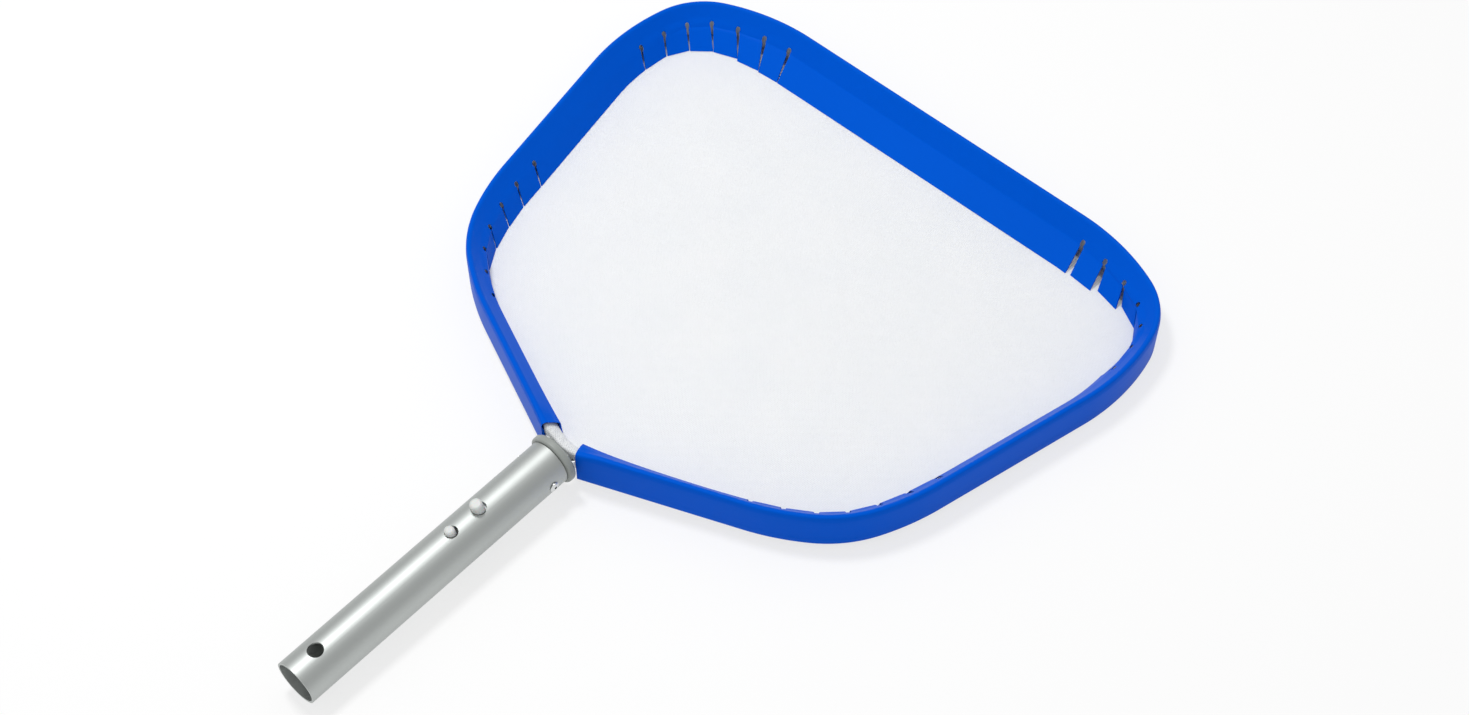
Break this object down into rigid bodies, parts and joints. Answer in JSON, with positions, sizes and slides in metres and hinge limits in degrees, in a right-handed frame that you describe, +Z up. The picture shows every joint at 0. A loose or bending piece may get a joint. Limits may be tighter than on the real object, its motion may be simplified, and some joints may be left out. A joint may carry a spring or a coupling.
{
  "type": "leaf skimmer net",
  "caption": "Flat pool skimmer net: a rimmed hoop with a stretched mesh on a short tube handle, whose sprung snap clip locks it into a pole.",
  "frame": {"origin": "on the axis of the handle, at the lock buttons, where the cross holes of the pole come", "axes": "+X to the right across the net, +Y in the net's plane from the handle to the leading edge, +Z up out of the net's open side. The handle droops 2.3 degrees below the net's plane towards its free end."},
  "size_m": [0.4184, 0.5513, 0.0423],
  "materials": {
    "tube": "satin anodised drawn tube",
    "plug": "moulded, satin grey",
    "hoop": "mill finish extrusion",
    "bumper": "extruded, semi-gloss blue",
    "net": "fine woven white mesh",
    "spline": "soft cord, matt",
    "patch": "folded white mesh",
    "clip": "moulded, light grey",
    "rivet": "bright blind rivet",
    "mandrel": "plain steel"
  },
  "bodies": {
    "frame": {"handle_tube": "tube", "throat_plug": "plug", "hoop": "hoop", "bumper": "bumper", "net_panel": "net", "net_border": "net", "net_spline": "spline", "throat_patch": "patch", "clip_bend": "clip", "left_rivet": "rivet", "right_rivet": "rivet", "left_mandrel": "mandrel", "right_mandrel": "mandrel"},
    "upper_arm": {"upper_clip_arm": "clip"},
    "lower_arm": {"lower_clip_arm": "clip"}
  },
  "joints": [
    {"name": "upper_press", "type": "hinge", "parent": "frame", "child": "upper_arm", "pos_m": [0, -0.02804, 0.00047], "axis": [-1, 0, 0], "range_deg": [0, 7.5], "stiffness_Nm_per_rad": 0.4, "springref_deg": -34.38},
    {"name": "lower_press", "type": "hinge", "parent": "frame", "child": "lower_arm", "pos_m": [0, -0.02791, -0.00272], "axis": [1, 0, 0], "range_deg": [0, 7.5], "stiffness_Nm_per_rad": 0.4, "springref_deg": -34.38}
  ]
}
